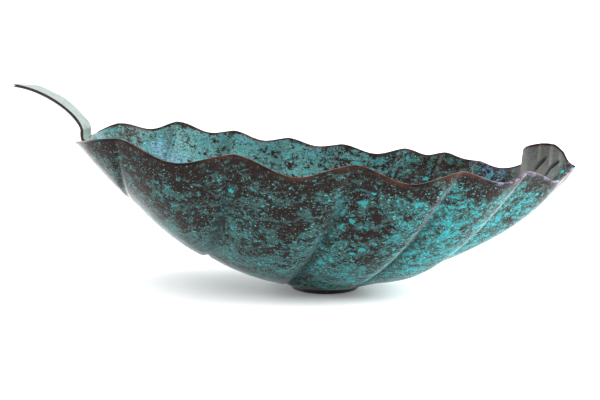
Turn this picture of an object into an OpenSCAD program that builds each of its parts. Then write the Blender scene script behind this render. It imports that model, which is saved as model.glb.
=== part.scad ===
// Hammered leaf bowl: one raised copper sheet, a strip stem and a foot ring, all brazed.
// Frame: origin on the table under the middle of the foot ring, +X from stem to leaf tip,
// +Z up. The front wall of the bowl is on the -Y side, the back wall on the +Y side.

/* [Leaf] */
// Distance from the foot to the base of the leaf, where the stem starts
base_reach = 177; // [174:1:180]
// Distance from the foot to the tip of the leaf
tip_reach = 180; // [177:1:184]
// Height of the leaf's base above the table
base_height = 109; // [106:1:112]
// Height of the leaf's tip above the table
tip_height = 91; // [88:0.5:95]
// Thickness of the copper sheet
sheet = 2; // [1.6:0.1:2.4]
// How far the wall has turned upright at the rim, in degrees
wall_turn = 74; // [66:1:80]
// How far the lobes between the veins swell outwards
lobe_swell = 5; // [2:0.5:6]

/* [Stem] */
// Width of the stem strip where it is lapped on
stem_width = 26; // [22:1:28]
// Width of the stem strip at its free end
stem_end_width = 36; // [28:1:38]
// Thickness of the stem strip
stem_thick = 2.4; // [2:0.1:3]
// Length of the lap that is brazed to the outside of the leaf's base
stem_lap = 14; // [10:1:15]
// How far the stem reaches out beyond the base of the leaf
stem_reach = 49; // [40:1:56]
// How far the stem rises above the base of the leaf
stem_rise = 40; // [32:1:46]
// How much shorter the stem is on its back edge than on its front edge
stem_skew = 6; // [0:1:8]
// Radius of the rounded back corner at the stem's free end
stem_corner = 7; // [3:0.5:9]

/* [Foot] */
// Outer radius of the foot ring
foot_radius = 25; // [22:0.5:26]
// Wall thickness of the foot ring
foot_wall = 2.4; // [1.6:0.1:3]
// Height of the foot ring, from the table to the leaf
foot_height = 4; // [3.5:0.5:5]
// Leg of the brazed fillets
fillet = 1.6; // [1:0.1:2]

/* [Hidden] */

// Ribs of the leaf. Each vein runs from the keel up to a crest of the rim:
// [place of its root along the keel, rim x, rim distance from the middle plane, rim height,
//  depth of the dip in the rim before the next rib, swell of the lobe before the next rib].
FRONT_RIBS = [
    [-base_reach, -base_reach, 0, base_height, 0, 0],
    [-174, -172, 46, 110, 0, 0.3],
    [-140, -134, 80, 115, 10, 1],
    [-89, -54, 97, 107, 10, 1],
    [-34, 24, 98, 101, 9, 1.1],
    [8, 92, 86, 96, 6, 1.3],
    [44, 138, 50, 92, 8, 0.8],
    [tip_reach, tip_reach, 0, tip_height, 0, 0]
];
BACK_RIBS = [
    [-base_reach, -base_reach, 0, base_height, 0, 0],
    [-175, -182, 40, 110, 0, 0.2],
    [-169, -169, 54, 116, 6, 0.5],
    [-140, -127, 84, 116, 5, 1],
    [-100, -81, 96, 108, 4.5, 1],
    [-62, -36, 100, 102, 3.5, 1],
    [-24, 9, 100, 97, 5.5, 1],
    [20, 61, 97, 94, 3.5, 0.8],
    [58, 94, 86, 92, 1.5, 0.6],
    [90, 119, 64, 87.5, 0.5, 0.4],
    [112, 137, 47, 84, 0, 0],
    [127, 151, 38.5, 89.5, 0, 0],
    [136, 151, 37, 94.5, 0, 0],
    [144, 149.5, 35.5, 99.8, 0, 0],
    [151, 152.5, 32, 103, 0, 0.2],
    [157, 160, 27.5, 105, 0, 0.3],
    [164, 168, 21, 105, 0, 0.2],
    [170, 173.3, 14, 101, 0, 0],
    [175, 176.5, 7, 94, 0, 0],
    [tip_reach, tip_reach, 0, tip_height, 0, 0]
];
RIB_ROOT = 0;
RIM_X = 1;
RIM_SIDE = 2;
RIM_Z = 3;
RIM_DIP = 4;
RIB_SWELL = 5;

// Steps of the leaf's grid along the keel, and from the keel up to the rim on each side
along_steps = 128;
wall_steps = 12;

// Height of the keel's lowest point before its middle is planished flat for the foot
keel_low = 3;
// Exponents that shape the keel's rise towards the stem and towards the tip
base_rise = 2.4;
tip_rise = 1.85;
// A lobe's swell up the wall is s * (swell_span - s), with s from the keel (0) to the rim (1)
swell_span = 1.25;
// A lobe swells slowly from the vein on its stem side and drops sharply to the vein on its tip
// side: f ^ lobe_lead * (1 - f ^ lobe_drop), with f from 0 at one vein to 1 at the next
lobe_lead = 0.9;
lobe_drop = 14;
// Largest value of that product, which brings the lobe's crest to the full swell
lobe_crest = pow(lobe_lead / (lobe_lead + lobe_drop), lobe_lead / lobe_drop)
    * lobe_drop / (lobe_lead + lobe_drop);
// How much higher than the outer skin the inner skin starts at both ends of the keel
end_lift = 0.2;
// The flat under the leaf that the foot ring sits on, and the width of its soft border
foot_flat = foot_radius + fillet + 1;
flat_border = 16;

// The base edge and the stem are turned a little in plan, in degrees
base_slant = 5.7;
// Steepness of the flat outside the leaf's base, as a share of the keel's own steepness there
lap_share = 0.96;
lap_slope = lap_share * base_rise * (base_height - keel_low) / base_reach;
lap_angle = atan(lap_slope);
// Width of the soft border round that flat
lap_border = 12;
// Half width of that flat, and how far in from the base edge it runs
lap_half = stem_width / 2 + fillet + 1;
lap_run = (stem_lap + fillet + 2) * cos(lap_angle);

// The stem bends upright just above the leaf's base: how far it follows the lap, how far the
// corner of the bend lies along it, and where the bend ends, outwards and up
bend_from = -0.5;
bend_corner = 2.6;
bend_end = [-0.8, 8];
// Pulls of the long arch at its lower and its free end
arch_low_pull = [-1.5, 9];
arch_end_pull = [26, -4];
// Steps of the bend and of the arch
bend_steps = 5;
arch_steps = 16;
// How far out the stem starts to widen, and the radius of its front corner
flare_from = 6;
front_corner = 2;
// The stem's back edge is drawn out where it leaves the leaf: by how much, and how far out the
// full width and the step back to the lap's width lie
root_flare = 4.5;
root_full = 3;
root_step = 0.6;

// How far below the base edge the braze at the lap's sides ends
braze_short = 1.5;
// Thickness of the braze's feather edge on the leaf
film = 0.02;
// How far a cutting shape reaches past what it cuts
cut = 1;
// Facets of the round shapes
ring_facets = 96;
corner_steps = 8;

function clamp01(t) = min(max(t, 0), 1);
function soft_step(t) =
    let (c = clamp01(t))
    c * c * (3 - 2 * c);
function unit(v) = v / norm(v);

// Which span between ribs holds the keel place x
function span_of(ribs, x, i = 0) =
    i >= len(ribs) - 2 || x < ribs[i + 1][RIB_ROOT] ? i : span_of(ribs, x, i + 1);

// How quickly one column of the ribs changes at rib i
function rib_slope(ribs, i, col) =
    let (lo = max(i - 1, 0), hi = min(i + 1, len(ribs) - 1))
    (ribs[hi][col] - ribs[lo][col]) / (ribs[hi][RIB_ROOT] - ribs[lo][RIB_ROOT]);

// Smooth cubic curve through one column of the ribs, between rib i and the next
function rib_curve(ribs, i, f, col) =
    let (h = ribs[i + 1][RIB_ROOT] - ribs[i][RIB_ROOT], g = 1 - f)
    ribs[i][col] * (1 + 2 * f) * g * g
    + rib_slope(ribs, i, col) * h * f * g * g
    + ribs[i + 1][col] * f * f * (3 - 2 * f)
    - rib_slope(ribs, i + 1, col) * h * f * f * g;

// Height of the keel, the lowest line of the leaf, at place x
function keel_z(x) =
    x < 0
    ? keel_low + (base_height - keel_low) * pow(-x / base_reach, base_rise)
    : keel_low + (tip_height - keel_low) * pow(x / tip_reach, tip_rise);

// Height of the flat outside the leaf's base, where the stem is lapped on
function lap_z(x, y) =
    base_height - lap_slope * ((x + base_reach) * cos(base_slant) + y * sin(base_slant));

// The outer skin, planished flat under the foot and where the stem is lapped on
function planished(p) =
    let (
        foot_part = 1 - soft_step((norm([p.x, p.y]) - foot_flat) / flat_border),
        in_run = (p.x + base_reach) * cos(base_slant) + p.y * sin(base_slant),
        lap_across = 1 - soft_step((abs(p.y) - lap_half) / lap_border),
        lap_along = 1 - soft_step((in_run - lap_run) / lap_border),
        z1 = p.z + (foot_height - p.z) * foot_part
    )
    [p.x, p.y, z1 + (lap_z(p.x, p.y) - z1) * lap_across * lap_along];

// One point of the leaf's outer skin: x along the keel, s from the keel (0) to the rim (1).
// The wall is part of an ellipse from the keel to the rim, swollen between the veins.
function skin_point(ribs, side, x, s) =
    let (
        i = span_of(ribs, x),
        f = (x - ribs[i][RIB_ROOT]) / (ribs[i + 1][RIB_ROOT] - ribs[i][RIB_ROOT]),
        rim_z = rib_curve(ribs, i, f, RIM_Z) - ribs[i][RIM_DIP] * pow(sin(180 * f), 2),
        out = sin(wall_turn * s) / sin(wall_turn),
        up = (1 - cos(wall_turn * s)) / (1 - cos(wall_turn)),
        rise = s * (swell_span - s) / pow(swell_span / 2, 2),
        lobe = pow(max(0, f), lobe_lead) * (1 - pow(max(0, f), lobe_drop)) / lobe_crest,
        swell = lobe_swell * ribs[i][RIB_SWELL] * lobe * rise
    )
    planished([
        x + (rib_curve(ribs, i, f, RIM_X) - x) * (out + up) / 2,
        side * (rib_curve(ribs, i, f, RIM_SIDE) * out + swell * sin(wall_turn * s)),
        keel_z(x) + (rim_z - keel_z(x)) * up - swell * cos(wall_turn * s)
    ]);

// Keel places, closer together towards both ends of the leaf
function keel_place(j) =
    let (c = -cos(180 * j / along_steps))
    c < 0 ? c * base_reach : c * tip_reach;

// One line of points across the leaf, from the front rim over the keel to the back rim
function cross_line(j) =
    let (x = keel_place(j))
    [for (k = [-wall_steps : wall_steps])
        k < 0
        ? skin_point(FRONT_RIBS, -1, x, -k / wall_steps)
        : skin_point(BACK_RIBS, 1, x, k / wall_steps)];

// The skin moved inwards by the sheet's thickness, square to the skin
function inner_line(lines, j) =
    [for (k = [0 : 2 * wall_steps])
        let (
            lo = max(k - 1, 0),
            hi = min(k + 1, 2 * wall_steps),
            along = lines[j + 1][k] - lines[j - 1][k],
            across = lines[j][hi] - lines[j][lo]
        )
        lines[j][k] + sheet * unit(cross(along, across))];

// The leaf as one closed sheet: an outer and an inner skin that share the rim's edge
module leaf_shell() {
    lines = [for (j = [0 : along_steps]) cross_line(j)];
    base = lines[0][wall_steps];
    tip = lines[along_steps][wall_steps];
    outer = [for (j = [1 : along_steps - 1]) each lines[j]];
    inner = [for (j = [1 : along_steps - 1]) each inner_line(lines, j)];
    poles = [base, base + [sheet, 0, end_lift], tip, tip + [-sheet, 0, end_lift]];
    wide = 2 * wall_steps + 1;
    rows = along_steps - 1;
    in0 = rows * wide;
    p0 = 2 * in0;
    last = (rows - 1) * wide;
    skin_faces = [
        for (j = [0 : rows - 2], k = [0 : wide - 2])
            let (a = j * wide + k, b = a + 1, c = a + wide, d = c + 1)
            each [[a, d, b], [a, c, d], [in0 + a, in0 + b, in0 + d], [in0 + a, in0 + d, in0 + c]]
    ];
    pole_faces = [
        for (k = [0 : wide - 2])
            each [
                [p0, k, k + 1],
                [p0 + 1, in0 + k + 1, in0 + k],
                [p0 + 2, last + k + 1, last + k],
                [p0 + 3, in0 + last + k, in0 + last + k + 1]
            ]
    ];
    edge_faces = [
        for (j = [0 : rows - 2])
            let (a = j * wide, b = a + wide, c = a + wide - 1, d = c + wide)
            each [[a, in0 + b, b], [a, in0 + a, in0 + b], [c, d, in0 + d], [c, in0 + d, in0 + c]]
    ];
    end_faces = [
        [p0, in0, 0],
        [p0, p0 + 1, in0],
        [p0, wide - 1, in0 + wide - 1],
        [p0, in0 + wide - 1, p0 + 1],
        [p0 + 2, last, in0 + last],
        [p0 + 2, in0 + last, p0 + 3],
        [p0 + 2, in0 + last + wide - 1, last + wide - 1],
        [p0 + 2, p0 + 3, in0 + last + wide - 1]
    ];
    color("#3a7f78")
        polyhedron(
            points = concat(outer, inner, poles),
            faces = concat(skin_faces, pole_faces, edge_faces, end_faces)
        );
}

// Places a shape drawn in the stem's own plane (outwards = -x, up = y) at the leaf's base
module at_base()
    translate([-base_reach, 0, base_height])
        rotate([0, 0, base_slant])
            rotate([90, 0, 0])
                children();

// Directions along the lap, up to the base edge, and square out of the leaf
lap_up = [-cos(lap_angle), sin(lap_angle)];
lap_out = [-sin(lap_angle), -cos(lap_angle)];

// Middle line of the stem: the lap, a short bend upright, and the long arch outwards
function quad_curve(a, b, c, t) = a * pow(1 - t, 2) + b * 2 * t * (1 - t) + c * t * t;
function cubic_curve(a, b, c, d, t) =
    a * pow(1 - t, 3) + b * 3 * t * pow(1 - t, 2) + c * 3 * t * t * (1 - t) + d * pow(t, 3);
lap_mid = lap_out * stem_thick / 2;
bend_start = lap_mid + lap_up * bend_from;
bend_mid = lap_mid + lap_up * bend_corner;
bend_top = lap_mid + bend_end;
stem_end = [-stem_reach, stem_rise];
arch_low = bend_top + arch_low_pull;
arch_high = stem_end + arch_end_pull;
stem_line = concat(
    [lap_mid - lap_up * stem_lap],
    [for (i = [0 : bend_steps - 1]) quad_curve(bend_start, bend_mid, bend_top, i / bend_steps)],
    [for (i = [0 : arch_steps])
        cubic_curve(bend_top, arch_low, arch_high, stem_end, i / arch_steps)]
);

function line_side(line, i, half) =
    let (
        lo = line[max(i - 1, 0)],
        hi = line[min(i + 1, len(line) - 1)],
        d = unit(hi - lo)
    )
    line[i] + half * [-d.y, d.x];

// Points along a quarter circle from one angle to another
function corner(centre, radius, from, to) =
    [for (i = [0 : corner_steps])
        let (a = from + (to - from) * i / corner_steps)
        centre + radius * [cos(a), sin(a)]];

// Outline of the stem seen from above, with +y towards the back
stem_outline = concat(
    corner([-stem_reach + front_corner, -stem_end_width / 2 + front_corner], front_corner, 270, 180),
    corner([-stem_reach + stem_skew + stem_corner, stem_end_width / 2 - stem_corner],
        stem_corner, 180, 90),
    [[-flare_from, stem_width / 2], [-root_full, stem_width / 2 + root_flare]],
    [[-root_step, stem_width / 2 + root_flare], [-root_step, stem_width / 2]],
    [[stem_reach, stem_width / 2]],
    [[stem_reach, -stem_width / 2], [-flare_from, -stem_width / 2]]
);

// Width that holds the stem's end and its drawn-out root
stem_span = max(stem_end_width, stem_width + 2 * root_flare);

// The stem: a flat strip, lapped outside the base, that rises and arches away from the bowl
module stem() {
    half = stem_thick / 2;
    last = len(stem_line) - 1;
    color("#8d9c97")
        intersection() {
            at_base()
                translate([0, 0, -stem_span / 2])
                    linear_extrude(stem_span)
                        polygon(concat(
                            [for (i = [0 : last]) line_side(stem_line, i, half)],
                            [for (i = [last : -1 : 0]) line_side(stem_line, i, -half)]
                        ));
            translate([-base_reach, 0, base_height / 2])
                rotate([0, 0, base_slant])
                    linear_extrude(base_height * 2)
                        polygon(stem_outline);
        }
}

// Places a shape on the outside of the lapped base: +z runs up the lap from its lower edge,
// -x points out of the leaf
module on_lap()
    translate([-base_reach, 0, base_height])
        rotate([0, 0, base_slant])
            rotate([0, lap_angle - 90, 0])
                translate([0, 0, -stem_lap])
                    children();

// Fillet of braze along the lower edge of the lap and up its two sides
module stem_braze() {
    long = stem_lap - braze_short;
    wide = stem_width + 2 * fillet;
    color("#6b4a2e")
        on_lap()
            difference() {
                hull() {
                    translate([-film, -wide / 2, -fillet])
                        cube([film, wide, long + fillet]);
                    translate([-fillet, -stem_width / 2, 0])
                        cube([film, stem_width, long]);
                }
                translate([-stem_thick, -stem_width / 2, 0])
                    cube([stem_thick + cut, stem_width, stem_lap]);
            }
}

// The foot: a plain ring that the bowl stands on
module foot_ring()
    color("#3a2723")
        difference() {
            cylinder(r = foot_radius, h = foot_height, $fn = ring_facets);
            translate([0, 0, -cut])
                cylinder(r = foot_radius - foot_wall, h = foot_height + 2 * cut, $fn = ring_facets);
        }

// Fillets of braze between the foot ring and the leaf, one outside and one inside the ring
module foot_braze() {
    inside = foot_radius - foot_wall;
    color("#6b4a2e")
        rotate_extrude($fn = ring_facets)
            union() {
                polygon([
                    [foot_radius, foot_height],
                    [foot_radius, foot_height - fillet],
                    [foot_radius + fillet, foot_height]
                ]);
                polygon([
                    [inside, foot_height],
                    [inside - fillet, foot_height],
                    [inside, foot_height - fillet]
                ]);
            }
}

leaf_shell();
stem();
stem_braze();
foot_ring();
foot_braze();
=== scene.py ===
"""Looks of the hammered leaf bowl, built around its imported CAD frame.

The bowl is one raised copper sheet in the shape of a leaf, with a strip stem and a foot ring
brazed on. The scene is in metres, with +X from the stem to the leaf's tip, +Z up and the table
at z = 0. The pieces' own sizes are in millimetres.
"""

import logging
import math
from collections.abc import Callable
from dataclasses import dataclass
from enum import Enum

import bmesh
import bpy
import numpy as np
from bpy.types import Material, Node, NodeSocket, NodeTree, Object
from numpy import ndarray as Array
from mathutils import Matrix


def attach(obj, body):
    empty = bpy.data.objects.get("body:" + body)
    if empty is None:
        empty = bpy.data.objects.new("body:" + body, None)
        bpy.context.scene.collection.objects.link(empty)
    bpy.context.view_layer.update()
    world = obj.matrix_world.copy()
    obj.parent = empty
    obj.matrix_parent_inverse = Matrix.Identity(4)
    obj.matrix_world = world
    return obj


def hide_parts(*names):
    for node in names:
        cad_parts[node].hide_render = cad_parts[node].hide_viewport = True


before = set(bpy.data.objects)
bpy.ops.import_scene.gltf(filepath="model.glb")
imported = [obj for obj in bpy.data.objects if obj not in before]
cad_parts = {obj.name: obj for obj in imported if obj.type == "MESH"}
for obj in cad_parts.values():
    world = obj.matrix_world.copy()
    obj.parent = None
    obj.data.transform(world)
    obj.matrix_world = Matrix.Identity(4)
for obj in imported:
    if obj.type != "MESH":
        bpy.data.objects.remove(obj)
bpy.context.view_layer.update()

MM = 0.001
SMOOTH = {"interpolation_type": "SMOOTHSTEP"}
Triple = tuple[float, float, float]
Colour = tuple[float, float, float, float]
LOG = logging.getLogger("leaf_bowl")


# ---- Small helpers ----


def linear(code: str) -> Colour:
    """Turns an sRGB hex colour into linear red, green, blue and alpha.

    Args:
        code: Colour such as "#3a2723".

    Returns:
        The linear colour with an alpha of 1.
    """
    parts = [int(code[i : i + 2], 16) / 255 for i in (1, 3, 5)]
    bright = [c / 12.92 if c <= 0.04045 else ((c + 0.055) / 1.055) ** 2.4 for c in parts]
    return (*bright, 1.0)


def soft_step(t: Array) -> Array:
    """Cubic step from 0 to 1 as t goes from 0 to 1, flat outside."""
    c = np.clip(t, 0.0, 1.0)
    return c * c * (3 - 2 * c)


def unit(v: Array) -> Array:
    """Vectors of length 1 along the last axis."""
    return v / np.maximum(np.linalg.norm(v, axis=-1, keepdims=True), 1e-12)


@dataclass(frozen=True)
class Ramp:
    """A soft step: 0 up to a start, and its full share from a span further on."""

    start: float
    span: float
    share: float = 1.0

    def __call__(self, v: Array) -> Array:
        """Height of the step at v."""
        return self.share * soft_step((v - self.start) / self.span)


class Nodes:
    """A shader tree that nodes are added to, each with its settings and links in one call."""

    def __init__(self, tree: NodeTree) -> None:
        """Takes the tree of a material or of a world and clears it."""
        self.tree = tree
        tree.nodes.clear()

    def add(self, kind: str, inputs: dict | None = None, **settings: object) -> Node:
        """Adds a node.

        Args:
            kind: Node type without its "ShaderNode" start.
            inputs: Socket name or number to a constant, to the output socket that feeds it, or
                to a node, whose first output in use feeds it.
            **settings: Properties of the node.

        Returns:
            The new node.
        """
        node = self.tree.nodes.new("ShaderNode" + kind)
        for name, value in settings.items():
            setattr(node, name, value)
        for socket, value in (inputs or {}).items():
            if isinstance(value, Node):
                value = next(out for out in value.outputs if out.enabled)
            if isinstance(value, NodeSocket):
                self.tree.links.new(value, node.inputs[socket])
            else:
                node.inputs[socket].default_value = value
        return node


def new_finish(name: str) -> tuple[Material, Nodes]:
    """Starts an empty material.

    Args:
        name: Name of the material.

    Returns:
        The material and its empty tree.
    """
    material = bpy.data.materials.new(name)
    material.use_nodes = True
    return material, Nodes(material.node_tree)


def grid_faces(rows: int, cols: int) -> Array:
    """Quads between the rows of a grid of points, each row a closed loop.

    Args:
        rows: Number of rows.
        cols: Points in a row.

    Returns:
        An array of four point numbers a face.
    """
    i, k = np.meshgrid(np.arange(rows - 1), np.arange(cols), indexing="ij")
    nxt = (k + 1) % cols
    a, b, c, d = i * cols + k, i * cols + nxt, (i + 1) * cols + nxt, (i + 1) * cols + k
    return np.stack([a, b, c, d], axis=-1).reshape(-1, 4)


def surface_object(name: str, points: Array, values: dict[str, Array], merge: float) -> Object:
    """Puts closed loops of points into a mesh object and closes its poles and ends.

    Args:
        name: Name of the piece.
        points: Points as rows x columns x 3, in metres.
        values: Numbers per point, as rows x columns, kept as point attributes.
        merge: Points nearer than this are merged, which closes the poles.

    Returns:
        The new object, at the origin.
    """
    rows, cols = points.shape[:2]
    mesh = bpy.data.meshes.new(name)
    mesh.from_pydata(points.reshape(-1, 3), [], grid_faces(rows, cols))
    for key, field in values.items():
        layer = mesh.attributes.new(key, "FLOAT", "POINT")
        layer.data.foreach_set("value", np.ascontiguousarray(field, dtype=np.float32).ravel())
    work = bmesh.new()
    work.from_mesh(mesh)
    bmesh.ops.remove_doubles(work, verts=work.verts, dist=merge)
    bmesh.ops.dissolve_degenerate(work, edges=work.edges, dist=merge / 10)
    holes = [e for e in work.edges if e.is_boundary]
    if holes:
        bmesh.ops.holes_fill(work, edges=holes, sides=0)
    bmesh.ops.recalc_face_normals(work, faces=work.faces)
    work.to_mesh(mesh)
    work.free()
    mesh.shade_smooth()
    piece = bpy.data.objects.new(name, mesh)
    bpy.context.scene.collection.objects.link(piece)
    return piece


# ---- Finishes ----


class Coat(Enum):
    """How a surface was sealed: weight, roughness and IOR of the clear layer on top."""

    LACQUER = (1.0, 0.2, 1.12)
    WAX = (0.7, 0.32, 1.25)
    NONE = (0.0, 0.3, 1.5)

    def sockets(self) -> dict[str, float]:
        """Returns the shader's coat sockets for this layer."""
        weight, rough, ior = self.value
        return {"Coat Weight": weight, "Coat Roughness": rough, "Coat IOR": ior}


class Mark(Enum):
    """Lines painted along the leaf's folds, painted shade in the pleats and grooves and a painted
    highlight on the crests: how strong each is on the inner and the outer skin.
    """

    PLEAT = (1, 0)
    CREST = (1, 1)
    GROOVE = (0.6, 1)


@dataclass(frozen=True)
class Cut:
    """How a layer is cut from a noise: its level, how far cover lowers it, and its border."""

    level: float
    fall: float
    border: float


@dataclass(frozen=True)
class VerdigrisCopper:
    """Raised copper, chemically patinated and lacquered.

    Green copper carbonate lies on a dark brown oxide as a thin grey-green film, as round specks
    of dried droplets and as bright crystal crusts. It crowds towards the foot and the tip. The
    oxide stays bare along the rim, and the lip wears back to brown copper, painted pale blue near
    the tip as a painted highlight for its glints there. Light and shade are painted into the
    colour too: the inner film is lighter where light falls on the inner wall, with painted shade
    near the stem and towards the tip; a grey painted reflection lies on the inside of the curl;
    painted shade lies in the pleats and the vein grooves, and painted highlights on the lobes'
    edges.
    """

    name: str = "verdigris_copper"
    oxide_dark: str = "#0e0908"
    oxide_light: str = "#241613"
    inner_oxide: str = "#2c1d18"
    lip_dark: str = "#120a08"
    lip_worn: str = "#43281e"
    film: str = "#2f4745"
    # The inner film colours are lighter, partly painted light for the light falling on the inner
    # wall.
    inner_film_lit: str = "#3c5857"
    inner_chalk_lit: str = "#6f9f9e"
    # Painted reflection: a grey sheen on the inside of the curl.
    curl_sheen_grey: str = "#6f6e69"
    # Painted shade in the pleats of the curl.
    pleat_shade: str = "#10201f"
    # Painted highlight on the lobes' edges beside the veins.
    crest_highlight_tint: str = "#75727c"
    # Painted shade in the vein grooves.
    groove_shade: str = "#12292b"
    teal: str = "#2d7074"
    turquoise: str = "#27a1a6"
    mint: str = "#79bcb8"
    heat_blue: str = "#7a83bb"
    # Pale blue painted on the lip near the tip as a painted highlight for its glints.
    lip_glint_blue: str = "#8183a6"
    patch_mm: float = 24.0
    film_mm: float = 6.0
    fleck_mm: float = 1.9
    grain_mm: float = 1.0
    drop_mm: float = 4.8
    drop_reach: float = 0.5
    warp_mm: float = 3.0
    shift_mm: float = 3.2
    stretch: Triple = (0.68, 1.0, 1.15)
    patchiness: float = 1.9
    film_cut: Cut = Cut(level=0.555, fall=0.17, border=0.035)
    fleck_cut: Cut = Cut(level=0.65, fall=0.15, border=0.018)
    crust_cut: Cut = Cut(level=0.655, fall=0.16, border=0.03)
    mint_cut: Cut = Cut(level=0.66, fall=0.06, border=0.03)
    heat_cut: Cut = Cut(level=1.0, fall=0.46, border=0.1)
    coat: Coat = Coat.LACQUER

    def noises(self, n: Nodes, place: object) -> tuple[Node, ...]:
        """Adds the fractal noises that every layer of the patina is cut from.

        Args:
            n: The tree.
            place: Object coordinates.

        Returns:
            The coordinates, shaken a little and stretched lengthwise, as the liquid was wiped;
            then noise for patches, lumps of film, flecks and grains, from coarse to fine.
        """
        warp = n.add(
            "TexNoise", {"Vector": place, "Scale": 1 / (self.warp_mm * MM), "Detail": 2.0}
        )
        centre = (0.5, 0.5, 0.5)
        shift = n.add("VectorMath", {0: warp.outputs["Color"], 1: centre}, operation="SUBTRACT")
        shift = n.add("VectorMath", {0: shift, "Scale": self.shift_mm * MM}, operation="SCALE")
        bent = n.add("VectorMath", {0: place, 1: shift}, operation="ADD")
        bent = n.add("VectorMath", {0: bent, 1: self.stretch}, operation="MULTIPLY")
        patch, lumps, flecks, grain = (
            n.add(
                "TexNoise",
                {"Vector": at, "Scale": 1 / (size * MM), "Detail": detail, "Roughness": rough},
            )
            for at, size, detail, rough in (
                (place, self.patch_mm, 3.0, 0.6),
                (bent, self.film_mm, 6.0, 0.78),
                (bent, self.fleck_mm, 3.0, 0.6),
                (bent, self.grain_mm, 2.0, 0.6),
            )
        )
        return bent, patch, lumps, flecks, grain

    def droplets(self, n: Nodes, place: object, share: object) -> tuple[Node, NodeSocket]:
        """Round spots in a random share of the cells of a Voronoi lattice.

        A spot's radius is drawn between about a third of the largest and the largest.

        Args:
            n: The tree.
            place: Coordinates.
            share: Share of cells that hold a spot, 0 to 1.

        Returns:
            The spots' mask and a random number for each cell.
        """
        least = self.drop_reach * 0.35
        border = 0.1
        cells = n.add("TexVoronoi", {"Vector": place, "Scale": 1 / (self.drop_mm * MM)})
        lots = n.add("SeparateColor", {"Color": cells.outputs["Color"]}).outputs
        held = n.add("Math", {0: lots[0], 1: share}, operation="LESS_THAN")
        radius = n.add(
            "Math", {0: lots[1], 1: self.drop_reach * 0.65, 2: least}, operation="MULTIPLY_ADD"
        )
        inner = n.add("Math", {0: radius, 1: border}, operation="SUBTRACT")
        spot = n.add(
            "MapRange",
            {"Value": cells.outputs["Distance"], "From Min": radius, "From Max": inner},
            **SMOOTH,
        )
        return n.add("Math", {0: spot, 1: held}, operation="MULTIPLY"), lots[2]

    def layer(self, n: Nodes, noise: object, cover: object, cut: Cut) -> Node:
        """One layer of the patina: where a noise is above a level that sinks with the cover.

        Args:
            n: The tree.
            noise: The noise.
            cover: How thickly the patina grew here, 0 to 1.
            cut: The level with no cover, its fall to full cover, and the layer's border.

        Returns:
            The layer's mask.
        """
        level = n.add("Math", {0: cover, 1: -cut.fall, 2: cut.level}, operation="MULTIPLY_ADD")
        top = n.add("Math", {0: level, 1: cut.border}, operation="ADD")
        return n.add(
            "MapRange",
            {"Value": noise, "From Min": level, "From Max": top},
            **SMOOTH,
        )

    def laid(
        self, n: Nodes, under: object, over: object, mask: object, share: float = 1.0
    ) -> Node:
        """Lays one colour over another.

        Args:
            n: The tree.
            under: Lower colour, as a node or a hex colour.
            over: Upper colour, likewise.
            mask: Where the upper colour lies, 0 to 1.
            share: How opaque it is there.

        Returns:
            The mixed colour.
        """
        part = n.add("Math", {0: mask, 1: share}, operation="MULTIPLY")
        low, high = (linear(c) if isinstance(c, str) else c for c in (under, over))
        return n.add("Mix", {0: part, 6: low, 7: high}, data_type="RGBA")

    def build(self) -> Material:
        """Lays the patina in its order: oxide, film, flecks, crusts, droplets, heat, the curl's
        painted reflection, the painted shade and highlights along the folds, and the lip.

        Returns:
            The material, patterned on Object coordinates and the leaf's attributes.
        """
        material, n = new_finish(self.name)
        place = n.add("TexCoord").outputs["Object"]
        # Among the attributes are masks of painted light: the lighter inner film with painted shade
        # near the stem and the tip, the painted reflection on the curl, the lip's painted glints,
        # and the painted shade and highlights along the folds.
        keys = ("lip", "inside", "growth", "bloom", "thick", "curl_sheen", "lip_glint")
        keys += tuple(mark.name.lower() for mark in Mark)
        field = {k: n.add("Attribute", attribute_name=k).outputs["Fac"] for k in keys}
        bent, patch, lumps, flecks, grain = self.noises(n, place)

        # Soft borders within a noise: the noise, and its values where the border starts and ends.
        part = {
            key: n.add("MapRange", {"Value": noise, "From Min": low, "From Max": high})
            for key, noise, low, high in (
                ("coarse", flecks, 0.36, 0.6),
                ("chalky", flecks, 0.42, 0.6),
                ("fine", grain, 0.37, 0.6),
                ("lumpy", lumps, 0.42, 0.56),
                ("speckled", flecks, 0.45, 0.6),
                ("broken", flecks, 0.4, 0.62),
                ("lip_mix", patch, 0.44, 0.62),
                ("streaked", lumps, 0.47, 0.6),
            )
        }

        # Cover: the growth that the shape gives, broken up by patches a few centimetres across.
        spread = {0: patch, 1: self.patchiness, 2: -self.patchiness / 2}
        uneven = n.add("Math", spread, operation="MULTIPLY_ADD")
        some = n.add("MapRange", {"Value": field["growth"], "From Max": 0.25})
        uneven = n.add("Math", {0: uneven, 1: some}, operation="MULTIPLY")
        cover = n.add("Math", {0: field["growth"], 1: uneven}, operation="ADD", use_clamp=True)
        vivid = n.add("Math", {0: cover, 1: field["bloom"]}, operation="MULTIPLY")
        held = n.add("Math", {0: vivid, 1: 0.5}, operation="MULTIPLY")
        film = self.layer(n, lumps, cover, self.film_cut)
        fleck = self.layer(n, flecks, cover, self.fleck_cut)
        crust = self.layer(n, lumps, vivid, self.crust_cut)
        mint = self.layer(n, grain, cover, self.mint_cut)
        drop, drop_lot = self.droplets(n, bent, held)

        # Tints of the layers.
        oxide = self.laid(n, self.oxide_dark, self.oxide_light, part["coarse"])
        colour = self.laid(n, oxide, self.inner_oxide, field["inside"], 0.7)
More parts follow.
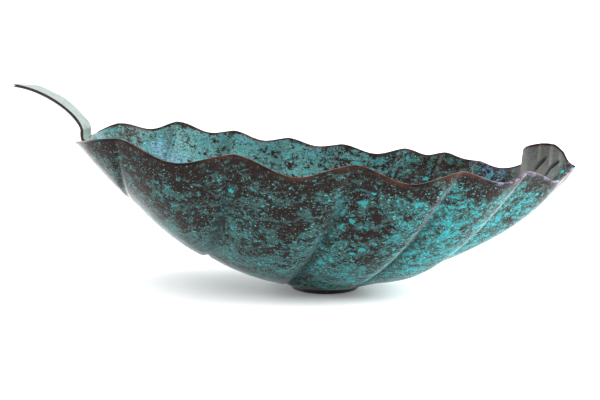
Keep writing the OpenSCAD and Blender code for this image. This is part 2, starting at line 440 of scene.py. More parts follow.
        # Inside, the film is painted lighter where light falls on the inner wall, and darker where
        # painted shade lies near the stem and towards the tip.
        inner = self.laid(n, self.inner_film_lit, self.inner_chalk_lit, part["chalky"])
        film_and_light_tint = self.laid(n, self.film, inner, field["thick"])
        vivid_grain = n.add("Math", {0: part["fine"], 1: field["bloom"]}, operation="MULTIPLY")
        bright = self.laid(n, self.teal, self.turquoise, vivid_grain)
        fleck_tint = self.laid(n, film_and_light_tint, self.teal, part["fine"])
        fleck_tint = self.laid(n, fleck_tint, bright, part["lumpy"])
        spot_tint = self.laid(n, self.teal, self.turquoise, drop_lot)

        # Heat colours, the painted highlights on the lobes' edges, and the lip with its painted
        # glints near the tip.
        heat = self.layer(n, patch, field["inside"], self.heat_cut)
        heat = n.add("Math", {0: heat, 1: part["speckled"]}, operation="MULTIPLY")
        # Painted highlight on the lobes' edges, broken up by noise.
        thin = n.add("Math", {0: field["crest"], 1: part["broken"]}, operation="MULTIPLY")
        # Painted glints on the lip near the tip, in streaks.
        glinted = n.add("Math", {0: field["lip_glint"], 1: part["streaked"]}, operation="MULTIPLY")
        # The lip's colour: brown copper where it wears, with painted glints near the tip.
        lip_mix = self.laid(n, self.lip_dark, self.lip_worn, part["lip_mix"])
        lip_mix = self.laid(n, lip_mix, self.lip_glint_blue, glinted, 0.7)

        # The layers from the oxide up: tint, mask and how opaque each is.
        for over, mask, share in (
            (film_and_light_tint, film, 1.0),
            (fleck_tint, fleck, 1.0),
            (bright, crust, 1.0),
            (spot_tint, drop, 0.9),
            (self.mint, mint, 0.7),
            (self.heat_blue, heat, 0.35),
            # Painted reflection on the inside of the curl, weaker higher up.
            (self.curl_sheen_grey, field["curl_sheen"], 1.0),
            # Painted shade in the pleats of the curl.
            (self.pleat_shade, field["pleat"], 0.9),
            # Painted highlight on the lobes' edges.
            (self.crest_highlight_tint, thin, 0.4),
            # Painted shade in the vein grooves.
            (self.groove_shade, field["groove"], 0.6),
            (lip_mix, field["lip"], 1.0),
        ):
            colour = self.laid(n, colour, over, mask, share)

        crystal = n.add("Math", {0: crust, 1: drop}, operation="MAXIMUM")
        crystal = n.add("Math", {0: crystal, 1: fleck}, operation="MAXIMUM")
        rough = n.add("MapRange", {"Value": crystal, "To Min": 0.4, "To Max": 0.6})
        height = n.add("Math", {0: grain, 1: 0.8, 2: crystal}, operation="MULTIPLY_ADD")
        bump = n.add("Bump", {"Height": height, "Strength": 0.5, "Distance": 0.15 * MM})
        shader = n.add(
            "BsdfPrincipled",
            {
                "Base Color": colour,
                "Roughness": rough,
                "Normal": bump,
                "Metallic": 0.0,
                "Specular IOR Level": 0.05,
                "Sheen Weight": 0.15,
                "Sheen Roughness": 0.25,
                "Sheen Tint": (0.8, 0.93, 1.0, 1.0),
                **self.coat.sockets(),
            },
        )
        n.add("OutputMaterial", {"Surface": shader})
        return material


@dataclass(frozen=True)
class OxidisedCopper:
    """Copper browned by heat, with a thin grey-green bloom where patina ran over it.

    The bloom gives a soft satin cast on broad faces, and the edges stay dark and a little
    polished.
    """

    name: str
    dark: str
    light: str
    bloom: str
    bloom_share: float
    scale_mm: float
    coat: Coat
    bare_edges: bool = False
    fine_mm: float = 1.2
    bloom_cut: Cut = Cut(level=0.72, fall=0.44, border=0.09)

    def build(self) -> Material:
        """Mottles the brown metal and lays the bloom where two noises together are high.

        Returns:
            The material, patterned on Object coordinates.
        """
        material, n = new_finish(self.name)
        place = n.add("TexCoord").outputs["Object"]
        broad, fine = (
            n.add(
                "TexNoise",
                {"Vector": place, "Scale": 1 / (size * MM), "Detail": detail, "Roughness": rough},
            )
            for size, detail, rough in ((self.scale_mm, 4.0, 0.6), (self.fine_mm, 3.0, 0.65))
        )
        tone = n.add("MapRange", {"Value": broad, "From Min": 0.35, "From Max": 0.65})
        tones = {0: tone, 6: linear(self.dark), 7: linear(self.light)}
        metal = n.add("Mix", tones, data_type="RGBA")
        both = n.add("Mix", {0: 0.4, 2: broad, 3: fine}, data_type="FLOAT")
        cut = self.bloom_cut
        level = cut.level - cut.fall * self.bloom_share
        span = {"Value": both, "From Min": level - cut.border, "From Max": level + cut.border}
        share = n.add("MapRange", span, **SMOOTH)
        if self.bare_edges:
            face = n.add("Attribute", attribute_name="face").outputs["Fac"]
            share = n.add("Math", {0: share, 1: face}, operation="MULTIPLY")
        colour = n.add("Mix", {0: share, 6: metal, 7: linear(self.bloom)}, data_type="RGBA")
        rough = n.add("MapRange", {"Value": share, "To Min": 0.36, "To Max": 0.5})
        bump = n.add("Bump", {"Height": both, "Strength": 0.35, "Distance": 0.2 * MM})
        shader = n.add(
            "BsdfPrincipled",
            {
                "Base Color": colour,
                "Roughness": rough,
                "Normal": bump,
                "Metallic": 0.0,
                "Specular IOR Level": 0.3,
                **self.coat.sockets(),
            },
        )
        n.add("OutputMaterial", {"Surface": shader})
        return material


@dataclass(frozen=True)
class OpalTable:
    """Matt opal acrylic, lit from below, which gives a white floor and a thin soft shadow."""

    name: str = "opal_acrylic"
    white: str = "#f4f4f4"
    glow: float = 0.1

    def build(self) -> Material:
        """Makes one even white that glows a little.

        Returns:
            The material.
        """
        material, n = new_finish(self.name)
        shader = n.add(
            "BsdfPrincipled",
            {
                "Base Color": linear(self.white),
                "Roughness": 0.9,
                "Specular IOR Level": 0.1,
                "Emission Color": (1.0, 1.0, 1.0, 1.0),
                "Emission Strength": self.glow,
            },
        )
        n.add("OutputMaterial", {"Surface": shader})
        return material


# ---- Sub-assemblies ----


class SubAssembly:
    """A part of the bowl that builds its pieces and dresses them."""

    def dress(self, piece: Object, material: Material, slot: str, *nodes: str) -> Object:
        """Gives a piece its material and its place in the frame.

        Args:
            piece: The finished piece.
            material: Its finish.
            slot: The record's material slot; not used.
            *nodes: CAD nodes that it stands for.

        Returns:
            The same piece.
        """
        piece.data.materials.clear()
        piece.data.materials.append(material)
        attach(piece, "root")
        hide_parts(*nodes)
        LOG.info("%s: %d faces for %s", piece.name, len(piece.data.polygons), ", ".join(nodes))
        return piece

    def finish_solids(self, material: Material, *nodes: str) -> None:
        """Gives CAD solids their finish and leaves their shapes as they are.

        Args:
            material: The finish.
            *nodes: Names of the CAD nodes.
        """
        for node in nodes:
            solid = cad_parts[node]
            solid.data.materials.clear()
            solid.data.materials.append(material)
            LOG.info("%s: CAD solid with %s", node, material.name)


class Side(Enum):
    """The two walls of the leaf, with the sign of y on each."""

    FRONT = -1
    BACK = 1


@dataclass(frozen=True)
class Pleat:
    """A short fold pinched into the curl, as two ends: keel place in mm and height fraction."""

    low: tuple[float, float]
    high: tuple[float, float]
    depth: float = 1.6
    half: float = 1.1

    def strength(self, x: Array, s: Array) -> Array:
        """How deep the fold is: a bell curve across it and a flatter one along it.

        Args:
            x: Keel places, one per row.
            s: Height fractions, one per column.

        Returns:
            Numbers from 0 to 1, rows x columns.
        """
        middle = (self.low[1] + self.high[1]) / 2
        reach = (self.high[1] - self.low[1]) / 2
        along = (s[None, :] - middle) / reach
        line = (self.low[0] + self.high[0]) / 2 + along * (self.high[0] - self.low[0]) / 2
        across = (x[:, None] - line) / (self.half * np.sqrt(np.clip(1.15 - along**2, 0.1, 1)))
        return np.exp(-(across**2)) * np.exp(-(along**6))


@dataclass(frozen=True)
class PatinaMap:
    """Where the patina grew, and where light and shade are painted, as soft steps of places on the
    leaf in mm.

    Outside, the green thickens downwards and towards the tip, below a bare band of about a
    centimetre. Inside, it is thick near the stem, thin near the tip and almost absent on the
    curl. The inner film is painted lighter where light falls on the inner wall, with painted
    shade near the stem and towards the tip. A grey painted reflection lies on the inside of the
    curl, weaker higher up, and the lip near the tip has painted glints.
    """

    outer_least: float = 0.17
    outer_down: Ramp = Ramp(0, 110, 0.44)
    outer_tipward: Ramp = Ramp(0, 120, 0.4)
    low_tipward: Ramp = Ramp(15, 60, 0.14)
    low_down: Ramp = Ramp(50, 50)
    outer_band: Ramp = Ramp(2, 16)
    inner_most: float = 0.72
    inner_tipward: Ramp = Ramp(-50, 130, 0.42)
    inner_stemward: Ramp = Ramp(130, 30, 0.14)
    inner_band: Ramp = Ramp(0.5, 2.5)
    curl_loss: float = 0.7
    curl_along: Ramp = Ramp(136, 14)
    curl_across: Ramp = Ramp(2, 10)
    lip: Ramp = Ramp(0.6, 1.2)
    bloom_least: float = 0.2
    bloom: Ramp = Ramp(-100, 200, 0.8)
    # How the inner film's painted light fades: painted shade near the stem and towards the tip.
    stem_shade_least: float = 0.35
    stem_shade_clear: Ramp = Ramp(-150, 45, 0.65)
    tip_shade: Ramp = Ramp(-10, 140)
    # Painted reflection on the inside of the curl, weaker higher up.
    curl_sheen_most: float = 0.8
    curl_sheen_fade_up: Ramp = Ramp(84, 22, 0.35)
    # Where the lip near the tip carries painted glints.
    lip_glint: Ramp = Ramp(95, 40)

    def fields(self, p: Array, rim_mm: Array, inside: Array) -> dict[str, Array]:
        """Everything that the leaf's finish reads but for the marks along folds.

        Args:
            p: Points of the whole sheet in millimetres.
            rim_mm: Distance from the rim at each point, along the wall.
            inside: 1 on the inner skin, 0 on the outer and a half on the lip.

        Returns:
            Attribute names and their values.
        """
        x, y, z = p[..., 0], p[..., 1], p[..., 2]
        curl = self.curl_along(x) * self.curl_across(y)
        outer = self.outer_least + self.outer_down(rim_mm) + self.outer_tipward(x)
        outer += self.low_tipward(x) * self.low_down(rim_mm)
        outer *= self.outer_band(rim_mm)
        inner = self.inner_most - self.inner_tipward(x) - self.inner_stemward(-x)
        inner *= (1 - self.curl_loss * curl) * self.inner_band(rim_mm)
        # Painted shade on the inner film near the stem.
        clear_of_stem_shade = self.stem_shade_least + self.stem_shade_clear(x)
        return {
            "lip": 1 - self.lip(rim_mm),
            "inside": inside,
            "growth": np.clip(outer + (inner - outer) * inside, 0, 1),
            "bloom": self.bloom_least + self.bloom(x),
            # Mask of the lighter inner film: painted light on the inner wall, with painted shade
            # near the stem and towards the tip.
            "thick": inside * (1 - self.tip_shade(x)) * clear_of_stem_shade,
            # Painted reflection on the inside of the curl, weaker higher up.
            "curl_sheen": inside * curl * (self.curl_sheen_most - self.curl_sheen_fade_up(z)),
            # Painted glints on the lip near the tip.
            "lip_glint": self.lip_glint(x) * (1 - curl),
        }


@dataclass
class LeafShell(SubAssembly):
    """The bowl: a leaf raised from one sheet.

    Ribs run from the keel, the lowest line of the leaf, up to the crests of the rim. Each rib is
    [place of its root along the keel, rim x, rim distance from the middle plane, rim height,
    depth of the dip in the rim before the next rib, swell of the lobe before the next rib], in
    millimetres but for the swell.
    """

    base_reach: float = 177
    tip_reach: float = 180
    base_height: float = 109
    tip_height: float = 91
    sheet: float = 2
    wall_turn: float = math.radians(74)
    lobe_swell: float = 5
    keel_low: float = 3
    base_rise: float = 2.4
    tip_rise: float = 1.85
    foot_height: float = 4
    foot_flat: float = 27.6
    flat_border: float = 16
    base_slant: float = math.radians(5.7)
    lap_half: float = 15.6
    along_steps: int = 360
    wall_steps: int = 62
    edge_steps: int = 4
    lip_bulge: float = 0.3
    swell_span: float = 1.25
    lobe_lead: float = 0.9
    lobe_drop: float = 14
    lap_share: float = 0.96
    lap_border: float = 12
    lap_run: float = 17.6
    hammer_pitch: float = 9
    hammer_depth: float = 0.28
    hammer_jitter: float = 0.42
    hammer_rim: Ramp = Ramp(0, 5)
    hammer_foot: float = 10
    hammer_lap: Ramp = Ramp(-160, 20)
    close_ribs: float = 15
    faint_swell: float = 0.5
    vein_depth: float = 0.9
    vein_half: float = 1.5
    vein_fade: float = 0.12
    # Where the painted highlight on each lobe's edge and the painted shade in each groove lie
    # beside the vein.
    crest_off: float = 3.2
    crest_half: float = 1.6
    crest_keel: float = 0.2
    crest_over: float = 1.15
    crest_rim: float = 0.3
    crest_least: float = 0.25
    crest_tipward: Ramp = Ramp(-20, 20, 0.75)
    groove_off: float = 1.5
    groove_half: float = 2.2
    groove_keel: float = 0.1
    groove_rim: float = 0.4
    fold_gain: float = 1.3
    inset: float = 0.1
    merge_m: float = 2e-6
    pleats: tuple[Pleat, ...] = (
        Pleat((154, 0.63), (161, 0.81)),
        Pleat((160, 0.47), (169.5, 0.75)),
    )
    finish: VerdigrisCopper = VerdigrisCopper()
    patina: PatinaMap = PatinaMap()
    front_ribs: tuple[tuple[float, ...], ...] = (
        (-177, -177, 0, 109, 0, 0),
        (-174, -172, 46, 110, 0, 0.3),
        (-140, -134, 80, 115, 10, 1),
        (-89, -54, 97, 107, 10, 1),
        (-34, 24, 98, 101, 9, 1.1),
        (8, 92, 86, 96, 6, 1.3),
        (44, 138, 50, 92, 8, 0.8),
        (180, 180, 0, 91, 0, 0),
    )
    back_ribs: tuple[tuple[float, ...], ...] = (
        (-177, -177, 0, 109, 0, 0),
        (-175, -182, 40, 110, 0, 0.2),
        (-169, -169, 54, 116, 6, 0.5),
        (-140, -127, 84, 116, 5, 1),
        (-100, -81, 96, 108, 4.5, 1),
        (-62, -36, 100, 102, 3.5, 1),
        (-24, 9, 100, 97, 5.5, 1),
        (20, 61, 97, 94, 3.5, 0.8),
        (58, 94, 86, 92, 1.5, 0.6),
        (90, 119, 64, 87.5, 0.5, 0.4),
        (112, 137, 47, 84, 0, 0),
        (127, 151, 38.5, 89.5, 0, 0),
        (136, 151, 37, 94.5, 0, 0),
        (144, 149.5, 35.5, 99.8, 0, 0),
        (151, 152.5, 32, 103, 0, 0.2),
        (157, 160, 27.5, 105, 0, 0.3),
        (164, 168, 21, 105, 0, 0.2),
        (170, 173.3, 14, 101, 0, 0),
        (175, 176.5, 7, 94, 0, 0),
        (180, 180, 0, 91, 0, 0),
    )

    def keel_z(self, x: Array) -> Array:
        """Height of the keel: a power curve up to the base and another up to the tip.

        Args:
            x: Keel places in millimetres.

        Returns:
            The keel's height at each place.
        """
        low = self.keel_low
        to_base = (np.maximum(-x, 0) / self.base_reach) ** self.base_rise
        to_tip = (np.maximum(x, 0) / self.tip_reach) ** self.tip_rise
        base, tip = self.base_height - low, self.tip_height - low
        return np.where(x < 0, low + base * to_base, low + tip * to_tip)

    def lap_slope(self) -> float:
        """Rise over run of the base where the stem laps on it."""
        rise = self.lap_share * self.base_rise * (self.base_height - self.keel_low)
        return rise / self.base_reach

    def rib_values(self, side: Side, x: Array) -> tuple[Array, ...]:
        """Rim point, rim dip, lobe swell, place within the lobe and its width, at keel places x.

        Between two ribs each column is a cubic whose slope at a rib is that of the line between
        the rib's neighbours.

        Args:
            side: Which wall.
            x: Keel places in millimetres.

        Returns:
            Rim x, distance and height as n x 3; then the dip, the swell, the fraction from 0 at
            one rib to 1 at the next, and the distance between the two roots.
        """
        ribs = np.array(self.front_ribs if side is Side.FRONT else self.back_ribs, float)
        root = ribs[:, 0]
        lo = np.maximum(np.arange(len(root)) - 1, 0)
        hi = np.minimum(np.arange(len(root)) + 1, len(root) - 1)
        slope = (ribs[hi, 1:4] - ribs[lo, 1:4]) / (root[hi] - root[lo])[:, None]
        i = np.clip(np.searchsorted(root, x, side="right") - 1, 0, len(root) - 2)
        h = (root[i + 1] - root[i])[:, None]
        f = (x - root[i])[:, None] / h
        g = 1 - f
        rim = (
            ribs[i, 1:4] * (1 + 2 * f) * g * g
            + slope[i] * h * f * g * g
            + ribs[i + 1, 1:4] * f * f * (3 - 2 * f)
            - slope[i + 1] * h * f * f * g
        )
        return rim, ribs[i, 4], ribs[i, 5], f[:, 0], h[:, 0]

    def flattened(self, p: Array) -> Array:
        """The skin, planished flat under the foot and outside the base where the stem laps.

        Args:
            p: Points of the skin in millimetres.

        Returns:
            The same points, those in the two places let down to a plane.
        """
        x, y, z = p[..., 0], p[..., 1], p[..., 2]
        foot = 1 - soft_step((np.hypot(x, y) - self.foot_flat) / self.flat_border)
        slope = self.lap_slope()
        run = (x + self.base_reach) * math.cos(self.base_slant) + y * math.sin(self.base_slant)
        lap_run = self.lap_run * math.cos(math.atan(slope))
        lap = 1 - soft_step((np.abs(y) - self.lap_half) / self.lap_border)
        lap *= 1 - soft_step((run - lap_run) / self.lap_border)
        z = z + (self.foot_height - z) * foot
        z = z + (self.base_height - slope * run - z) * lap
        return np.stack([x, y, z], axis=-1)

    def wall(self, side: Side, x: Array, s: Array) -> Array:
        """Outer skin of one wall as a function of keel place x and height fraction s.

        The wall is an arc of an ellipse from the keel to the rim. From one rib to the next,
        with f from 0 to 1, it swells outwards as f to a power, cut off by one less a high power
        of f, so that a lobe rises slowly and drops sharply into the next vein. The rim dips as
        a sine squared.

        Args:
            side: Which wall.
            x: Keel places, one per row.
            s: Fractions from 0 at the keel to 1 at the rim, one per column.

        Returns:
            Points in millimetres, rows x columns x 3.
        """
        rim, dip, swell, f, _ = self.rib_values(side, x)
        turn = self.wall_turn
        out = np.sin(turn * s) / math.sin(turn)
        up = (1 - np.cos(turn * s)) / (1 - math.cos(turn))
        rise = s * (self.swell_span - s) / (self.swell_span / 2) ** 2
        top = rim[:, 2] - dip * np.sin(np.pi * f) ** 2
        lead, drop = self.lobe_lead, self.lobe_drop
        crest = (lead / (lead + drop)) ** (lead / drop) * drop / (lead + drop)
        lobe = np.clip(f, 0, 1) ** lead * (1 - np.clip(f, 0, 1) ** drop) / crest
        bulge = (self.lobe_swell * swell * lobe)[:, None] * rise
        keel = self.keel_z(x)
        px = x[:, None] + (rim[:, 0] - x)[:, None] * (out + up) / 2
        py = side.value * (rim[:, 1, None] * out + bulge * np.sin(turn * s))
        pz = keel[:, None] + (top - keel)[:, None] * up - bulge * np.cos(turn * s)
        return self.flattened(np.stack([px, py, pz], axis=-1))

    def hammered(self, points: Array) -> Array:
        """Depth of the hammer marks at points, in millimetres.

        Each mark is a shallow bowl round the nearest of a cubic lattice of blows. Sines of
        large uneven numbers move each blow off its place.

        Args:
            points: Points in millimetres.

        Returns:
            The depth at each point.
        """
        pitch = self.hammer_pitch
        scatter = np.array([[127.1, 269.5, 113.5], [311.7, 183.3, 271.9], [74.7, 246.1, 124.6]])
        cell = np.floor(points / pitch)
        best = np.full(points.shape[:-1], np.inf)
        steps = np.stack(np.meshgrid(*[[-1, 0, 1]] * 3, indexing="ij"), axis=-1).reshape(-1, 3)
        for step in steps:
            at = cell + step
            mixed = np.sin(at @ scatter)
            centre = (at + 0.5 + self.hammer_jitter * np.sin(mixed * 43.7)) * pitch
            best = np.minimum(best, np.linalg.norm(points - centre, axis=-1))
        return self.hammer_depth * (1 - np.clip(best / pitch, 0, 1) ** 2)

    def folds(self, side: Side, x: Array, s: Array) -> Array:
        """How far veins and pleats drive the skin inwards, and the painted shade and highlights
        along them.

        Each vein is a narrow groove, a bell curve across the rib, that fades out at the keel
        and at the rim. A broad swollen lobe cuts it fully, and close ribs have none. The curl
        at the tip has two short pleats.

        Args:
            side: Which wall.
            x: Keel places, one per row.
            s: Fractions from the keel to the rim, one per column.

        Returns:
            Four fields stacked last: the depth in millimetres, then from 0 to 1 and in the order
            of Mark the painted shade in the pleats, the painted highlight on the edges a little on
            the stem side of each vein, and the painted shade in the grooves on its tip side.
        """
        _, _, swell, f, width = self.rib_values(side, x)
        strong = soft_step((width - self.close_ribs) / self.close_ribs)
        strong = strong * soft_step(swell / self.faint_swell)
        clear = self.crest_least + self.crest_tipward(x) if side is Side.FRONT else 1.0
        near = np.minimum(f, 1 - f) * width / self.vein_half
        off = ((1 - f) * width - self.crest_off) / self.crest_half
        sunk = (f * width - self.groove_off) / self.groove_half
        depth = (self.vein_depth * strong * np.exp(-(near**2)))[:, None]
        depth = depth * (soft_step(s / self.vein_fade) * soft_step((1 - s) / self.vein_fade))
        # Painted highlight along the lobe's edge on the stem side of each vein.
        crest = (np.exp(-(off**2)) * strong * clear)[:, None] * soft_step(s / self.crest_keel)
        crest = crest * soft_step((self.crest_over - s) / self.crest_rim)
        # Painted shade along the groove on the tip side of each vein.
        groove = (np.exp(-(sunk**2)) * strong)[:, None] * soft_step(s / self.groove_keel)
        groove = groove * soft_step((1 - s) / self.groove_rim)
        # Painted shade along the pleats of the curl, beside their real depth.
        fold = np.zeros_like(crest)
        for pleat in self.pleats if side is Side.BACK else ():
            line = pleat.strength(x, s)
            depth, fold = depth - pleat.depth * line, fold + line
        return np.stack([depth, np.clip(fold * self.fold_gain, 0, 1), crest, groove], axis=-1)

    def both_walls(self, make: Callable, x: Array) -> Array:
        """Values over the whole sheet, from the front rim down to the keel and up the back.

        Args:
            make: Method that takes a side, keel places and height fractions.
            x: Keel places, one per row.

        Returns:
            What it gives for the two walls, side by side.
        """
        s = np.linspace(0, 1, self.wall_steps + 1)
        return np.concatenate([make(Side.FRONT, x, s[:0:-1]), make(Side.BACK, x, s)], axis=1)

    def mesh(self) -> Object:
        """Builds the sheet: outer skin, rounded lip and inner skin as one closed loop a row.

        The rows crowd towards the two ends as a cosine. The skin is driven inwards along its
        normal by the hammer marks, veins and pleats, and the inner skin lies a sheet further.

        Returns:
            The sheet's object, with the attributes that its finish reads.
        """
        c = -np.cos(np.pi * np.arange(self.along_steps + 1) / self.along_steps)
        x = np.where(c < 0, c * self.base_reach, c * self.tip_reach)
        skin = self.both_walls(self.wall, x)
        inward, *marks = np.moveaxis(self.both_walls(self.folds, x), -1, 0)
        across = np.gradient(skin, axis=1)
        normal = unit(np.cross(np.gradient(skin, axis=0), across))
        # Every point of the first and of the last row is the same, so these have no cross product.
        normal[0], normal[-1] = unit(np.array([1.0, 0, 0.1])), unit(np.array([-1.0, 0, 0.1]))
        gap = np.linalg.norm(np.diff(skin, axis=1), axis=-1)
        length = np.concatenate([np.zeros((len(x), 1)), np.cumsum(gap, axis=1)], axis=1)
        rim_mm = np.minimum(length, length[:, -1:] - length)
        away = np.hypot(skin[..., 0], skin[..., 1])
        fade = self.hammer_rim(rim_mm) * soft_step((away - self.foot_flat) / self.hammer_foot)
        fade *= self.hammer_lap(skin[..., 0])
        driven = self.inset + self.hammered(skin) * fade + inward * (away > self.foot_flat)
        skin = skin + normal * driven[..., None]
        inner = skin + normal * (self.sheet - 2 * self.inset)
        loop, lip_steps = self.closed_loop(skin, inner, across)
        none = np.zeros((len(x), lip_steps))
        rim_loop = np.concatenate([rim_mm, none, rim_mm[:, ::-1], none], axis=1)
        inside = np.concatenate([rim_mm * 0, none + 0.5, rim_mm * 0 + 1, none + 0.5], axis=1)
        values = self.patina.fields(loop, rim_loop, inside)
        # Masks of the painted shade and highlights along the folds, for each skin.
        for mark, lines in zip(Mark, marks):
            on_inner, on_outer = mark.value
            row = [lines * on_outer, none, lines[:, ::-1] * on_inner, none]
            values[mark.name.lower()] = np.concatenate(row, axis=1)
        return surface_object("leaf", loop * MM, values, self.merge_m)

    def closed_loop(self, skin: Array, inner: Array, across: Array) -> tuple[Array, int]:
        """Joins the two skins by half-round lips.

        Args:
            skin: Outer skin, rows x columns x 3.
            inner: Inner skin, in the same order.
            across: The skin's direction from the front rim to the back rim.

        Returns:
            The rows as closed loops, and the number of points in each lip.
        """
        turn = np.pi * np.arange(1, self.edge_steps) / self.edge_steps
        lips = []
        along, over = np.cos(turn)[None, :, None], np.sin(turn)[None, :, None]
        for col, sign, start, end in ((-1, 1, skin, inner), (0, -1, inner, skin)):
            middle, half = (start[:, col] + end[:, col]) / 2, (start[:, col] - end[:, col]) / 2
            out = unit(across[:, col]) * sign * self.lip_bulge * self.sheet
            lips.append(middle[:, None] + (half[:, None] * along + out[:, None] * over))
        return np.concatenate([skin, lips[0], inner[:, ::-1], lips[1]], axis=1), self.edge_steps - 1

    def build(self) -> None:
        """Builds and dresses the leaf."""
        self.dress(self.mesh(), self.finish.build(), "patinated_leaf", "leaf_shell")


@dataclass
class StemStrip(SubAssembly):
    """The stem: a flat strip that laps the outside of the base, bends up and arches outwards.

    It widens towards its free end, which is cut a little slantwise and has one rounded corner.
    Its back edge is drawn out where it leaves the leaf.
    """

    leaf: LeafShell
    width: float = 26
    end_width: float = 36
    flare_from: float = 6
    thick: float = 2.4
    lap: float = 14
    reach: float = 48.9
    rise: float = 40
    skew: float = 6
    corner: float = 7
    front_corner: float = 2
    root_flare: float = 4.5
    root_full: float = 3
    root_step: float = 1
    knee_back: float = 0.5
    knee_on: float = 2.6
    bend_top: tuple[float, float] = (-0.8, 8)
    arch_pull: tuple[float, float] = (-1.5, 9)
    end_pull: tuple[float, float] = (26, -4)
    bend_length: float = 6
    edge_width: float = 0.6
    edge_thinning: float = 0.3
    wave_depth: float = 0.1
    wave_fade: float = 8
    wave_mm: Triple = (3.6, 4.1, 5.0)
    wave_bend: float = 1.7
    wave_phase: float = 0.6
    line_steps: int = 400
    curve_steps: int = 80
    rows: int = 110
    columns: int = 31
    merge_m: float = 1e-6
    finish: OxidisedCopper = OxidisedCopper(
        name="bloomed_copper", dark="#110a08", light="#2a1a13", bloom="#63746f",
        bloom_share=0.67, scale_mm=5.0, coat=Coat.WAX, bare_edges=True,
    )

    def middle_line(self) -> tuple[Array, Array]:
        """Middle line in the stem's own plane: a straight lap, a short bend and a long arch.

        The bend is a quadratic Bezier curve round the knee and the arch is a cubic one.

        Returns:
            Distances along the line, evenly spaced, and its points there.
        """
        slope = math.atan(self.leaf.lap_slope())
        up = np.array([-math.cos(slope), math.sin(slope)])
        out = np.array([-math.sin(slope), -math.cos(slope)])
        lap_mid = out * self.thick / 2
        start, knee = lap_mid - up * self.knee_back, lap_mid + up * self.knee_on
        top, end = lap_mid + np.array(self.bend_top), np.array([-self.reach, self.rise])
        t = np.linspace(0, 1, self.curve_steps)[:, None]
        g = 1 - t
        bend = start * g**2 + knee * 2 * t * g + top * t * t
        c1, c2 = top + np.array(self.arch_pull), end + np.array(self.end_pull)
        arch = top * g**3 + c1 * 3 * t * g**2 + c2 * 3 * t * t * g + end * t**3
        line = np.concatenate([[lap_mid - up * self.lap], bend, arch[1:]])
        run = np.concatenate([[0], np.cumsum(np.linalg.norm(np.diff(line, axis=0), axis=1))])
        even = np.linspace(0, run[-1], self.line_steps)
        return even, np.stack([np.interp(even, run, line[:, k]) for k in (0, 1)], axis=1)

    def end_place(self, y: Array) -> Array:
        """How far out the free end reaches: a slanted line with an arc at each corner.

        Args:
            y: Places across the strip in millimetres.

        Returns:
            The end's place along the reach, negative outwards.
        """
        half, r1, r2 = self.end_width / 2, self.front_corner, self.corner
        low, high = -half + r1, half - r2
        line = np.interp(y, [low, high], [-self.reach, -self.reach + self.skew])
        arc1 = r1 - np.sqrt(np.maximum(r1**2 - np.maximum(low - y, 0) ** 2, 0))
        arc2 = r2 - np.sqrt(np.maximum(r2**2 - np.maximum(y - high, 0) ** 2, 0))
        return line + arc1 + arc2

    def mesh(self) -> Object:
        """Carries the strip's section along the middle line.

        Each lengthwise column of points ends on the slanted free end, its thickness falls off
        as a square near the two edges, and its faces carry shallow hammer waves, which are
        products of sines along and across.

        Returns:
            The stem's object, with how far each point is from an edge as an attribute.
        """
        run, line = self.middle_line()
        d = unit(np.gradient(line, axis=0))
        v = np.sin(np.linspace(-np.pi / 2, np.pi / 2, self.columns))
        order = np.concatenate([v, v[::-1]])
        face = np.concatenate([np.ones_like(v), -np.ones_like(v)])
        bent = self.lap + self.bend_length
        free = run > bent
        ends = np.interp(-self.end_place(order * self.end_width / 2), -line[free, 0], run[free])
        at = np.linspace(0, 1, self.rows)[:, None] * ends[None, :]
        px, pz = np.interp(at, run, line[:, 0]), np.interp(at, run, line[:, 1])
        nx, nz = np.interp(at, run, -d[:, 1]), np.interp(at, run, d[:, 0])
        flare = np.clip((-px - self.flare_from) / (self.reach - self.flare_from), 0, 1)
        half = (self.width + (self.end_width - self.width) * flare) / 2
        root = np.clip((px + self.flare_from) / (self.flare_from - self.root_full), 0, 1)
        root = root * (at > self.lap + self.root_step)
        half = half + self.root_flare * root * (order[None, :] > 0)
        y = order[None, :] * half
        side = np.clip(1 - (half - np.abs(y)) / self.edge_width, 0, 1)
        left = np.clip(1 - (ends[None, :] - at) / self.edge_width, 0, 1)
        edge = np.maximum(side, left)
        along, across, bend = self.wave_mm
        ripple = np.sin(at / along + self.wave_bend * np.sin(y / bend))
        ripple *= np.sin(y / across + self.wave_phase)
        wave = self.wave_depth * (1 + ripple) * soft_step((at - bent) / self.wave_fade)
        h = face[None, :] * (self.thick / 2 - self.edge_thinning * edge**2 - wave)
        qx, qz = px + nx * h, pz + nz * h
        cs, sn = math.cos(self.leaf.base_slant), math.sin(self.leaf.base_slant)
        x = -self.leaf.base_reach + qx * cs - y * sn
        points = np.stack([x, qx * sn + y * cs, self.leaf.base_height + qz], axis=-1) * MM
        values = {"face": 1 - soft_step(edge * 2)}
        return surface_object("stem_strip", points, values, self.merge_m)

    def build(self) -> None:
        """Builds and dresses the stem."""
        self.dress(self.mesh(), self.finish.build(), "patinated_stem", "stem")


@dataclass
class FootRing(SubAssembly):
    """The foot: a low ring of bar, browned by the torch and handled dark."""

    node: str = "foot_ring"
    finish: OxidisedCopper = OxidisedCopper(
        name="heat_browned_copper", dark="#0e0807", light="#241512", bloom="#265a55",
        bloom_share=0.2, scale_mm=7.0, coat=Coat.WAX,
    )

    def build(self) -> None:
        """Dresses the CAD solid of the ring."""
        self.finish_solids(self.finish.build(), self.node)


@dataclass
class BrazedSeams(SubAssembly):
    """The fillets of braze round the foot and at the stem's lap, oxidised with the copper."""

    nodes: tuple[str, ...] = ("foot_braze", "stem_braze")
    finish: OxidisedCopper = OxidisedCopper(
        name="oxidised_braze", dark="#1d120c", light="#4b321e", bloom="#33483f",
        bloom_share=0.4, scale_mm=3.0, coat=Coat.NONE,
    )

    def build(self) -> None:
        """Dresses the CAD solids of the seams in one finish."""
        self.finish_solids(self.finish.build(), *self.nodes)


# ---- Studio ----


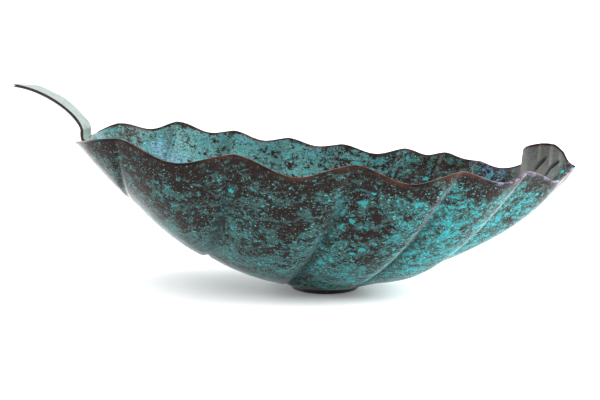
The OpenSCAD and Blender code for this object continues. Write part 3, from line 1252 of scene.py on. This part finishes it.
@dataclass(frozen=True)
class SoftBox:
    """A rectangular lamp behind white cloth: place and size in metres, turns in degrees, watts."""

    name: str
    place: Triple
    turn: Triple
    size: tuple[float, float]
    power: float

    def hang(self) -> None:
        """Adds the lamp to the scene."""
        light = bpy.data.lights.new(self.name, "AREA")
        light.shape = "RECTANGLE"
        light.size, light.size_y = self.size
        light.energy = self.power
        lamp = bpy.data.objects.new(self.name, light)
        lamp.location = self.place
        lamp.rotation_euler = [math.radians(a) for a in self.turn]
        bpy.context.scene.collection.objects.link(lamp)


@dataclass
class Studio:
    """White floor, soft light from above and the sides, and a camera in front of the bowl."""

    camera_place: Triple = (0.03626, -0.69186, 0.16633)
    camera_turn: Triple = (81.67, 0.0, 4.54)
    lens: float = 57.0
    sensor: float = 36.0
    floor_size: float = 8.0
    room: Colour = (0.02, 0.021, 0.022, 1.0)
    tent: Colour = (1.4, 1.4, 1.4, 1.0)
    table: OpalTable = OpalTable()
    lamps: tuple[SoftBox, ...] = (
        SoftBox("overhead_softbox", (0.3, 0.1, 1.5), (0, 0, 0), (2.2, 1.8), 14),
        SoftBox("right_softbox", (1.5, 0.2, 0.7), (0, 66, 0), (0.8, 1.6), 66),
        SoftBox("left_softbox", (-1.6, 0.3, 0.4), (0, -78, 0), (0.8, 1.6), 32),
        SoftBox("front_softbox", (-0.3, -0.9, 1.2), (35, 0, -15), (0.9, 0.7), 10),
    )

    def floor(self) -> None:
        """Lays the floor: one flat square."""
        e = self.floor_size / 2
        mesh = bpy.data.meshes.new("opal_floor")
        mesh.from_pydata([(-e, -e, 0), (-e, e, 0), (e, -e, 0), (e, e, 0)], [], [(0, 2, 3, 1)])
        floor = bpy.data.objects.new("opal_floor", mesh)
        bpy.context.scene.collection.objects.link(floor)
        mesh.materials.append(self.table.build())

    def world(self) -> None:
        """White tent above and behind the bowl, a dim room behind the camera."""
        world = bpy.data.worlds.new("studio")
        world.use_nodes = True
        bpy.context.scene.world = world
        n = Nodes(world.node_tree)
        toward = n.add("TexCoord").outputs["Generated"]
        part = n.add("SeparateXYZ", {0: toward}).outputs
        behind, above = (
            n.add(
                "MapRange",
                {"Value": part[axis], "From Min": low, "From Max": high},
                **SMOOTH,
            )
            for axis, low, high in (("Y", 0.0, 0.5), ("Z", 0.5, 0.9))
        )
        share = n.add("Math", {0: behind, 1: above}, operation="MAXIMUM")
        tone = n.add("Mix", {0: share, 6: self.room, 7: self.tent}, data_type="RGBA")
        back = n.add("Background", {"Color": tone})
        n.add("OutputWorld", {"Surface": back})

    def camera(self) -> None:
        """Sets the camera level with the rim, a little above the table."""
        data = bpy.data.cameras.new("camera")
        data.lens = self.lens
        data.sensor_width = self.sensor
        camera = bpy.data.objects.new("camera", data)
        camera.location = self.camera_place
        camera.rotation_euler = [math.radians(a) for a in self.camera_turn]
        bpy.context.scene.collection.objects.link(camera)
        bpy.context.scene.camera = camera

    def build(self) -> None:
        """Sets up the whole studio."""
        self.floor()
        self.world()
        for lamp in self.lamps:
            lamp.hang()
        self.camera()
        bpy.context.scene.view_settings.view_transform = "Standard"


def main() -> None:
    """Builds every piece, dresses it and reports it."""
    logging.basicConfig(level=logging.INFO, format="%(name)s %(message)s")
    leaf = LeafShell()
    for part in (leaf, StemStrip(leaf), FootRing(), BrazedSeams()):
        LOG.info("building %s", type(part).__name__)
        part.build()
    Studio().build()


if __name__ == "__main__":
    main()
